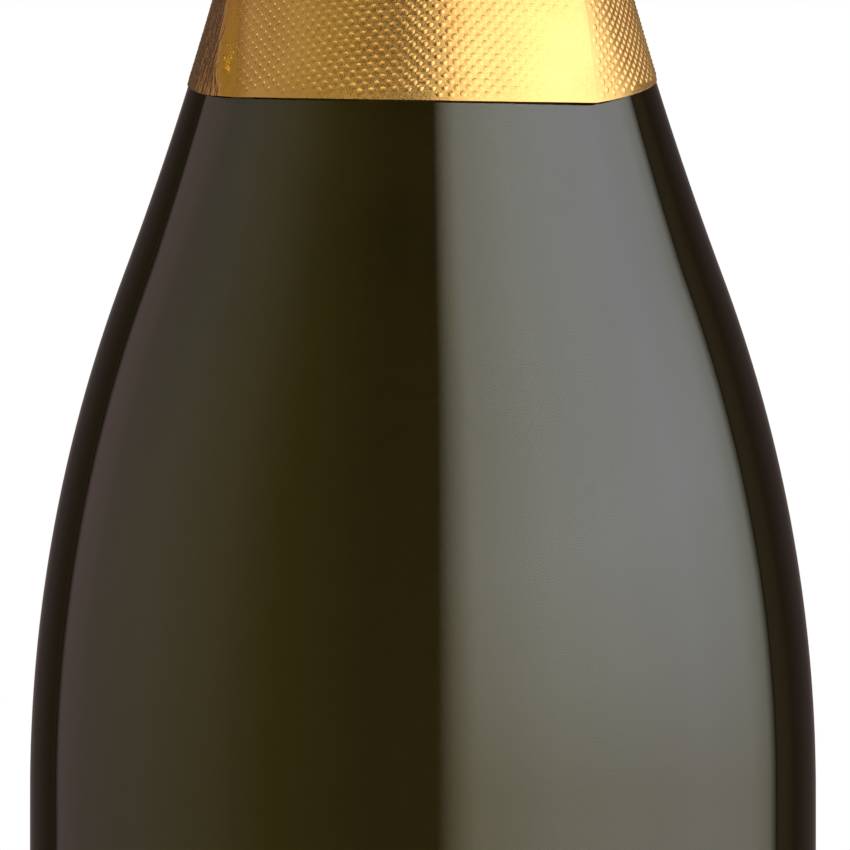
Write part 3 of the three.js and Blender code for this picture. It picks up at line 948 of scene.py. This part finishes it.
def tab_foil():
    low, high = band_points()
    run = (high - low).normalized()
    outward = Vector((run.y, -run.x))
    middle = low.lerp(high, 0.5) + outward * TAB_GAP
    ends = [middle - run * TAB_WIDTH / 2, middle + run * TAB_WIDTH / 2]
    half = (TAB_TO - TAB_FROM) / 2
    outline = Outline([ends[0].lerp(ends[1], i / 6) for i in range(7)])
    return embossed(outline, -half, half, (TAB_FROM + TAB_TO) / 2, lapped=False)


def hood_top_foil():
    top = HOOD_DISC_BOTTOM + HOOD_DISC_HEIGHT
    waves = []
    for radius in spread(0, HOOD_WAVE_REACH, 48):
        wave = (1 + math.cos(radius * math.tau / HOOD_WAVE_LENGTH)) / 2
        waves.append((radius, top - HOOD_WAVE_DEPTH * wave))
    bottom = [(radius, height - HOOD_DISC_SHEET) for radius, height in reversed(waves)]
    rim = [
        (HOOD_DISC_RADIUS - HOOD_DISC_EASE, top),
        (HOOD_DISC_RADIUS, top - HOOD_DISC_EASE),
        (HOOD_DISC_RADIUS, HOOD_DISC_BOTTOM + HOOD_DISC_EASE),
        (HOOD_DISC_RADIUS - HOOD_DISC_EASE, HOOD_DISC_BOTTOM),
    ]
    return turned([*waves, *rim, *bottom], steps=96)


def cork_body():
    head = CORK_HEAD_RADIUS - CORK_HEAD_ROUND
    outline = [
        (0, CORK_BODY_BOTTOM),
        (CORK_SHANK_RADIUS - CORK_EDGE, CORK_BODY_BOTTOM),
        (CORK_SHANK_RADIUS, CORK_BODY_BOTTOM + CORK_EDGE),
        (CORK_SHANK_RADIUS, CORK_HEAD_BOTTOM),
        *arc(head, CORK_HEAD_BOTTOM + CORK_HEAD_ROUND, CORK_HEAD_ROUND, -90, 0),
        *[(CORK_HEAD_RADIUS, height) for height in spread(CORK_SIDE_FROM, CORK_SIDE_TO, 8)],
        *arc(head, CORK_SHOULDER - CORK_HEAD_ROUND, CORK_HEAD_ROUND, 0, 90),
        (CORK_TOP_RADIUS, CORK_SHOULDER),
        (CORK_TOP_RADIUS, CORK_TOP - CORK_EDGE),
        (CORK_TOP_RADIUS - CORK_EDGE, CORK_TOP),
        (0, CORK_TOP),
    ]
    return turned(outline, steps=96)


def cork_disc(top):
    outline = [
        (0, top - CORK_DISC),
        (CORK_SHANK_RADIUS - CORK_EDGE, top - CORK_DISC),
        (CORK_SHANK_RADIUS, top - CORK_DISC + CORK_EDGE),
        (CORK_SHANK_RADIUS, top - CORK_DISC_EASE),
        (CORK_SHANK_RADIUS - CORK_DISC_EASE, top),
        (0, top),
    ]
    return turned(outline, steps=96)


def pressed_cap():
    """Thin plate with a rolled rim, a channel for the wire ring and a raised middle with a stepped ring."""
    dip = CAP_PANEL_TOP - CAP_STEP_DEPTH
    rim_foot = CAP_BOTTOM - CAP_RIM_DROP
    panel = [
        (0, CAP_PANEL_TOP),
        (CAP_STEP_INNER, CAP_PANEL_TOP),
        (CAP_STEP_INNER + CAP_STEP_SLOPE, dip),
        (CAP_STEP_OUTER - CAP_STEP_SLOPE, dip),
        (CAP_STEP_OUTER, CAP_PANEL_TOP),
        *arc(CHANNEL_INNER - CAP_PANEL_ROUND, CAP_PANEL_TOP - CAP_PANEL_ROUND, CAP_PANEL_ROUND, 90, 0, 5),
        (CHANNEL_INNER, CHANNEL_FLOOR + CHANNEL_EASE),
        (CHANNEL_INNER + CHANNEL_EASE, CHANNEL_FLOOR),
        (CHANNEL_OUTER - CHANNEL_EASE, CHANNEL_FLOOR),
        (CHANNEL_OUTER, CHANNEL_FLOOR + CHANNEL_EASE),
        *arc(CHANNEL_OUTER + CAP_EDGE_ROUND, CAP_EDGE_TOP - CAP_EDGE_ROUND, CAP_EDGE_ROUND, 180, 0, 8),
        (CAP_RADIUS, rim_foot + CAP_RIM_ROUND),
        (CAP_RADIUS - CAP_RIM_ROUND, rim_foot),
        (CAP_RIM_INNER, rim_foot + CAP_RIM_ROUND),
        (CAP_RIM_INNER, CAP_BOTTOM),
        (CHANNEL_INNER - CAP_SHEET, CAP_BOTTOM),
        (0, CAP_BOTTOM),
    ]
    return turned(panel, steps=128)


# Wires
def resampled(points, step):
    """Points at even distances along a polyline."""
    result = [points[0].copy()]
    carry = 0.0
    for low, high in zip(points, points[1:]):
        run = high - low
        travelled = step - carry
        while travelled <= run.length:
            result.append(low + run * (travelled / run.length))
            travelled += step
        carry = run.length - (travelled - step)
    result.append(points[-1].copy())
    return result


def add_wire(bm, points, radius, cyclic=False):
    """Sweep a round wire along points and add it to a mesh."""
    curve = bpy.data.curves.new("wire_path", "CURVE")
    curve.dimensions = "3D"
    curve.bevel_depth = radius
    curve.bevel_resolution = 3
    curve.use_fill_caps = not cyclic
    spline = curve.splines.new("POLY")
    spline.points.add(len(points) - 1)
    for spot, point in zip(spline.points, points):
        spot.co = (*point, 1)
    spline.use_cyclic_u = cyclic
    path = bpy.data.objects.new("wire_path", curve)
    bpy.context.scene.collection.objects.link(path)
    mesh = bpy.data.meshes.new_from_object(path.evaluated_get(bpy.context.evaluated_depsgraph_get()))
    bm.from_mesh(mesh)
    bpy.data.objects.remove(path)
    bpy.data.curves.remove(curve)
    bpy.data.meshes.remove(mesh)


def add_twist(bm, points, strand, pitch, side):
    """Two strands twisted round each other along points; side is square to the path's plane."""
    points = resampled(points, TWIST_STEP)
    paths = [[], []]
    for i, point in enumerate(points):
        run = (points[min(i + 1, len(points) - 1)] - points[max(i - 1, 0)]).normalized()
        across = run.cross(side)
        turn = math.tau * i * TWIST_STEP / pitch
        offset = (side * math.cos(turn) + across * math.sin(turn)) * strand
        paths[0].append(point + offset)
        paths[1].append(point - offset)
    for path in paths:
        add_wire(bm, path, strand)


def circle_points(centre, radius, first, second, steps=40):
    turns = [math.tau * i / steps for i in range(steps)]
    return [centre + radius * (first * math.cos(turn) + second * math.sin(turn)) for turn in turns]


def level_ring(radius, height):
    return circle_points(Vector((0, 0, height)), radius, AXIS_X, AXIS_Y, 96)


def front(radius, height):
    return Vector((0, -radius, height))


def clean(bm):
    bmesh.ops.remove_doubles(bm, verts=bm.verts, dist=1e-4)
    bmesh.ops.recalc_face_normals(bm, faces=bm.faces)
    return bm


def cage_leg(index):
    """Twisted pair from the top ring over the cork's head to an eyelet round the belt."""
    bm = bmesh.new()
    bend = arc(LEG_HEAD_RADIUS - LEG_BEND, LEG_TOP - LEG_BEND, LEG_BEND, 90, 0, 10)
    path = [
        front(LEG_HOOK_RADIUS, LEG_TOP),
        *[front(radius, height) for radius, height in bend],
        front(LEG_HEAD_RADIUS, LEG_HEAD_FOOT),
        front(LEG_RING_RADIUS, RING_TOP),
        front(LEG_RING_RADIUS, BELT_HEIGHT + EYE_RADIUS),
    ]
    add_twist(bm, path, LEG_STRAND, LEG_TWIST, AXIS_X)
    eye = circle_points(front(BELT_RADIUS, BELT_HEIGHT), EYE_RADIUS, AXIS_Y, AXIS_Z, 28)
    add_wire(bm, eye, EYE_WIRE, cyclic=True)
    turn = Matrix.Rotation((index + 0.5) * math.pi / 2, 3, "Z")
    bmesh.ops.rotate(bm, cent=(0, 0, 0), matrix=turn, verts=bm.verts)
    return clean(bm)


def top_ring():
    bm = bmesh.new()
    add_wire(bm, level_ring(TOP_RING_RADIUS, TOP_RING_HEIGHT), RING_WIRE, cyclic=True)
    return clean(bm)


def belt():
    bm = bmesh.new()
    add_wire(bm, level_ring(BELT_RADIUS, BELT_HEIGHT), RING_WIRE, cyclic=True)
    stub = [front(BELT_RADIUS, BELT_HEIGHT), front(STUB_END, BELT_HEIGHT)]
    add_twist(bm, stub, LOOP_STRAND, STUB_TWIST, AXIS_X)
    return clean(bm)


def pull_loop():
    """Twisted neck that opens into an eye, leaning against the retaining ring."""
    bm = bmesh.new()
    neck = [Vector((0, 0, -LOOP_TAIL)), Vector((0, 0, LOOP_NECK))]
    add_twist(bm, neck, LOOP_STRAND, LOOP_TWIST, AXIS_X)
    turns = [math.radians(angle) for angle in spread(180, 0, 24)]
    bow = [Vector((LOOP_SIDE * math.cos(t), 0, LOOP_BOW_HEIGHT + LOOP_SIDE * math.sin(t))) for t in turns]
    start_side, start_rise = LOOP_START
    splay_side, splay_rise = LOOP_SPLAY
    eye = [
        Vector((-start_side, 0, LOOP_NECK + start_rise)),
        Vector((-splay_side, 0, LOOP_NECK + splay_rise)),
        *bow,
        Vector((splay_side, 0, LOOP_NECK + splay_rise)),
        Vector((start_side, 0, LOOP_NECK + start_rise)),
    ]
    add_wire(bm, resampled(eye, LOOP_STEP), LOOP_WIRE)
    bmesh.ops.rotate(bm, cent=(0, 0, 0), matrix=Matrix.Rotation(LOOP_LEAN, 3, "X"), verts=bm.verts)
    bmesh.ops.translate(bm, vec=(0, -LOOP_HINGE, BELT_HEIGHT), verts=bm.verts)
    return clean(bm)


# Pieces
glass_look = dark_glass()
wine_look = wine_liquid()
foil_look = gold_foil()
cap_look = cap_lacquer()
wire_look = galvanised_wire()
granule_look = granulated_cork()
bark_look = natural_cork()
paper_look = label_paper()

show("bottle_glass", glass(), [glass_look], "bottle", ["glass_bottle"], 40)
show("wine_fill", wine(), [wine_look], "bottle", ["wine"], 40)
show("front_paper", label(FRONT_LABEL_ANGLE, FRONT_LABEL_HEIGHT, 0), [paper_look, foil_look], "bottle",
     ["front_label"])
show("back_paper", label(BACK_LABEL_ANGLE, BACK_LABEL_HEIGHT, math.pi), [paper_look, foil_look], "bottle",
     ["back_label"])
show("collar_foil", collar_foil(), [foil_look], "bottle", ["foil_collar"], None)
show("band_foil", band_foil(), [foil_look], "bottle", ["tear_band"], None)
show("tab_foil", tab_foil(), [foil_look], "tab", ["pull_tab"], None)
show("hood_foil", hood_foil(), [foil_look], "hood", ["hood_skirt"], None)
show("hood_top_foil", hood_top_foil(), [foil_look], "hood", ["hood_disc"], 50)
show("pressed_cap", pressed_cap(), [cap_look], "cage", ["cap_plate"], 50)
show("granulated_cork_body", cork_body(), [granule_look], "cork", ["cork_body"], 50)
show("upper_cork_disc", cork_disc(UPPER_DISC_TOP), [bark_look], "cork",
     ["cork_disc_upper"], 50)
show("lower_cork_disc", cork_disc(LOWER_DISC_TOP), [bark_look], "cork",
     ["cork_disc_lower"], 50)
show("top_ring_wire", top_ring(), [wire_look], "cage", ["cage_top_ring"], 60)
show("belt_wire", belt(), [wire_look], "cage", ["cage_belt"], 60)
for leg in range(4):
    show(f"leg_wire_{leg + 1}", cage_leg(leg), [wire_look], "cage",
         [f"cage_leg_{leg + 1}"], 60)
show("loop_wire", pull_loop(), [wire_look], "loop", ["cage_loop"], 60)


# Studio: lengths in metres; brightness by degrees round the bottle, or by height
def grey(level):
    return (level, level, level)


PANEL_DISTANCE = 0.9
PANEL_TOP = 2.0
RIGHT_LEVEL = 2.8
RIGHT_LEAN = 1.1
LEFT_LEVEL = 0.85
UPPER_LEVEL = 2.8
BACK_LEVEL = 1.4
FILL_LEVEL = 0.35
RIGHT_PANEL = [
    (5.1, grey(0)), (10.1, (0.42, 0.40, 0.30)), (16, (0.75, 0.74, 0.62)), (40, (0.94, 0.96, 0.88)),
    (60, (0.97, 0.99, 0.96)), (88, (0.88, 0.90, 0.92)), (110, (0.65, 0.66, 0.64)), (120, (0.40, 0.40, 0.36)),
    (124.5, grey(0)),
]
LEFT_PANEL = [
    (15, grey(0)), (44, (0.19, 0.16, 0.03)), (66, (0.45, 0.40, 0.21)), (89, (0.55, 0.50, 0.34)),
    (131.5, (0.43, 0.31, 0.31)), (134.5, grey(0)),
]
UPPER_PANEL = [
    (0, (0.15, 0.13, 0.07)), (16, (0.55, 0.48, 0.25)), (34, (1.0, 0.88, 0.46)), (60, (0.8, 0.7, 0.37)),
    (90, grey(0)),
]
BACK_PANEL = [(129, grey(0)), (142, grey(1.0)), (180, grey(1.0))]
CURTAIN_GLOW = [
    (114, grey(0)), (120, (0.09, 0.066, 0.04)), (130, (0.085, 0.063, 0.038)), (139, (0.032, 0.022, 0.017)),
    (160, (0.078, 0.057, 0.053)), (180, (0.2, 0.16, 0.15)),
]
RIGHT_HEIGHTS = [
    (0.1, (0.68, 0.65, 0.56)), (0.25, (0.86, 0.85, 0.80)), (0.4, grey(0.96)), (0.6, grey(0.93)),
    (0.99, grey(0.93)), (1.07, grey(0)),
]
LEFT_HEIGHTS = [(0.0, grey(0.8)), (0.3, grey(1.0))]
UPPER_HEIGHTS = [(1.06, grey(0)), (1.14, grey(1.0))]
BACK_HEIGHTS = [(0.66, grey(0)), (0.75, grey(1.0))]
EVEN = [(0, grey(1.0)), (1, grey(1.0))]
PANEL_STEPS = 64
LEAN_REACH = 0.35
LEAN_FOOT = 0.12
LEAN_TOP = 0.75
CURTAIN_DISTANCE = 1.4
CURTAIN_FOOT = -0.2
CURTAIN_TOP = 2.6
FLOOR_RADIUS = 0.85
FLOOR_SOLID = 0.35
FLOOR_GONE = 0.8


def stage(name, bm, look, glossy_only=False):
    mesh = bpy.data.meshes.new(name)
    bm.to_mesh(mesh)
    bm.free()
    mesh.materials.append(look)
    prop = bpy.data.objects.new(name, mesh)
    bpy.context.scene.collection.objects.link(prop)
    if glossy_only:
        prop.visible_camera = False
        prop.visible_diffuse = False
        prop.visible_transmission = False
        prop.visible_volume_scatter = False
        prop.visible_shadow = False
    return prop


def standing_wall(radius, low, high, start, end, steps):
    """An upright wall round the bottle; angles count from the front towards +X, in degrees."""
    bm = bmesh.new()
    turn = math.radians(start)
    x = radius * math.sin(turn)
    y = -radius * math.cos(turn)
    ends = [bm.verts.new((x, y, height)) for height in (low, high)]
    post = bm.edges.new(ends)
    spun(bm, ends + [post], math.radians(end - start), steps)
    return bm


def glowing_wall(name, stops, heights, side, strength, lean=0.0):
    """Cloth that glows: its brightness runs round the wall by angle and up it by height.

    Angles count from the front to one side, or to both where side is 0. The front edge leans forward by
    some degrees towards the floor.
    """
    shader = finish(name)
    axes = shader.node("SeparateXYZ", sockets={0: shader.place()})
    x, y, z = [Value(shader, axes.socket.node.outputs[i]) for i in range(3)]
    outwards = x * side if side else shader.node("Math", {"operation": "ABSOLUTE"}, {0: x})
    turn = shader.node("Math", {"operation": "ARCTAN2"}, {0: outwards, 1: y * -1}) / math.pi
    if lean:
        tilted = shader.fit(z, LEAN_FOOT, LEAN_TOP, lean / 180, 0)
        turn = turn + shader.fit(turn, 0, LEAN_REACH, 1, 0) * tilted
    round_wall = shader.ramp(turn, *[(degrees / 180, colour) for degrees, colour in stops])
    up_wall = shader.ramp(z / PANEL_TOP, *[(height / PANEL_TOP, colour) for height, colour in heights])
    light = shader.node("Emission", sockets={
        "Color": shader.mix(1.0, round_wall, up_wall, "MULTIPLY"), "Strength": strength})
    shader.node("OutputMaterial", sockets={"Surface": light})
    return shader.owner


right_look = glowing_wall("right_panel", RIGHT_PANEL, RIGHT_HEIGHTS, 1, RIGHT_LEVEL, RIGHT_LEAN)
left_look = glowing_wall("left_panel", LEFT_PANEL, LEFT_HEIGHTS, -1, LEFT_LEVEL)
upper_look = glowing_wall("upper_panel", UPPER_PANEL, UPPER_HEIGHTS, -1, UPPER_LEVEL)
back_look = glowing_wall("back_panel", BACK_PANEL, BACK_HEIGHTS, 0, BACK_LEVEL)
for name, look, start, end, low, high in (
        ("right_panel", right_look, 2, 125, 0.0, 1.07),
        ("left_panel", left_look, -135, -14, 0.0, 1.05),
        ("upper_panel", upper_look, -91, 10, 1.06, 1.9),
        ("back_panel", back_look, 129, 231, 0.66, 1.5)):
    panel = stage(name, standing_wall(PANEL_DISTANCE, low, high, start, end, PANEL_STEPS), look)
    panel.visible_camera = False
    panel.visible_transmission = False
    panel.visible_shadow = False

curtain_look = glowing_wall("black_curtain", CURTAIN_GLOW, EVEN, 0, 1.0)
curtain_wall = standing_wall(CURTAIN_DISTANCE, CURTAIN_FOOT, CURTAIN_TOP, -180, 180, 96)
stage("curtain", curtain_wall, curtain_look, glossy_only=True)


def floor_look():
    """Pale floor that fades into the white surround."""
    shader = finish("pale_floor")
    away = shader.node("VectorMath", {"operation": "LENGTH"}, {0: shader.place()}, output="Value")
    solid = shader.fit(away, FLOOR_SOLID, FLOOR_GONE, 1, 0)
    mottle = shader.noise(4, 2)
    return shader.surface({
        "Base Color": shader.ramp(mottle, (0.3, grey(0.80)), (0.7, grey(0.82))),
        "Roughness": 0.9,
        "Specular IOR Level": 0.1,
        "Alpha": solid,
    })


ground = bmesh.new()
bmesh.ops.create_circle(ground, cap_ends=True, radius=FLOOR_RADIUS, segments=96)
stage("floor", ground, floor_look())

surround = Shader(bpy.data.worlds.new("white_surround"))
bpy.context.scene.world = surround.owner
rays = surround.node("LightPath")
seen = [Value(surround, rays.socket.node.outputs[kind]) for kind in
        ("Is Camera Ray", "Is Glossy Ray", "Is Transmission Ray")]
shown_white = surround.node("Math", {"operation": "MINIMUM"}, {0: seen[0] + seen[1] + seen[2], 1: 1.0})
white = surround.node("Background", sockets={"Color": grey(1.0), "Strength": 1.0})
fill = surround.node("Background", sockets={"Color": grey(1.0), "Strength": FILL_LEVEL})
both = surround.node("MixShader", sockets={0: shown_white, 1: fill, 2: white})
surround.node("OutputWorld", sockets={"Surface": both})

bpy.context.scene.view_settings.view_transform = "Standard"

camera = bpy.data.objects.new("photo_camera", bpy.data.cameras.new("photo_camera"))
bpy.context.scene.collection.objects.link(camera)
camera.location = Vector((PHOTO_CENTRE.x, -CAMERA_DISTANCE, PHOTO_CENTRE.y)) * MM
camera.rotation_euler = (math.pi / 2, 0, 0)
camera.data.sensor_width = SENSOR
camera.data.lens = SENSOR * CAMERA_DISTANCE / PHOTO_WIDTH
camera.data.clip_end = 100
bpy.context.scene.camera = camera
